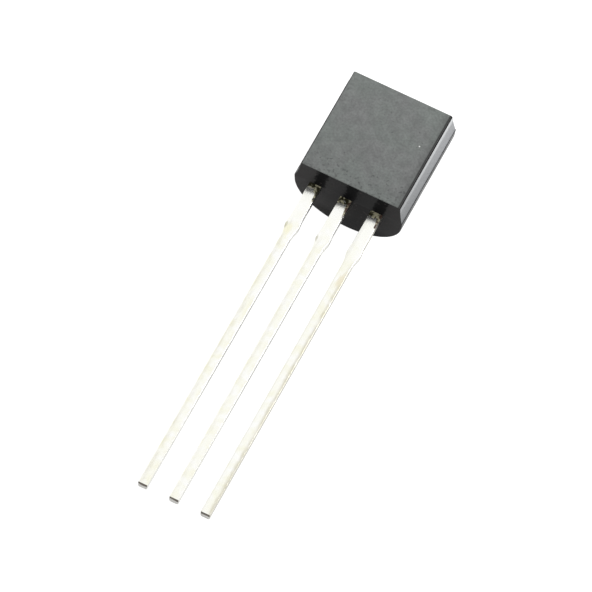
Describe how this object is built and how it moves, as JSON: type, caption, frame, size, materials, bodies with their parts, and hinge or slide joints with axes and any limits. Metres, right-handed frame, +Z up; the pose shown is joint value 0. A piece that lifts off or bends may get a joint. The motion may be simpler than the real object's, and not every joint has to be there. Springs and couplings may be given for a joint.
{
  "type": "small-signal transistor in a moulded through-hole package",
  "caption": "Small moulded transistor with a flat front and a round back, lying on its back, with straight flat tinned leads running out of one end.",
  "frame": {"origin": "middle of the bounding box's base, on the surface that the part lies on", "axes": "+Z up; +Y along the part from the lead tips to the far end of the body; +X to the right when the flat face is seen from above with the leads towards the viewer"},
  "size_m": [0.0044, 0.0186, 0.004],
  "materials": {
    "moulding_compound": "black mould compound, finely matt on the flat face, half glossy on the ends and the back",
    "tinned_lead": "bright tin plating on a stamped strip, bare brown metal on the cut tips",
    "silicon": "polished grey silicon",
    "die_attach_solder": "dull silver-grey solder",
    "gold_wire": "bright gold"
  },
  "bodies": {
    "root": {"moulded_body": "moulding_compound", "emitter_lead": "tinned_lead", "collector_lead": "tinned_lead", "base_lead": "tinned_lead", "silicon_die": "silicon", "die_attach": "die_attach_solder", "emitter_bond_wire": "gold_wire", "base_bond_wire": "gold_wire"}
  },
  "joints": []
}
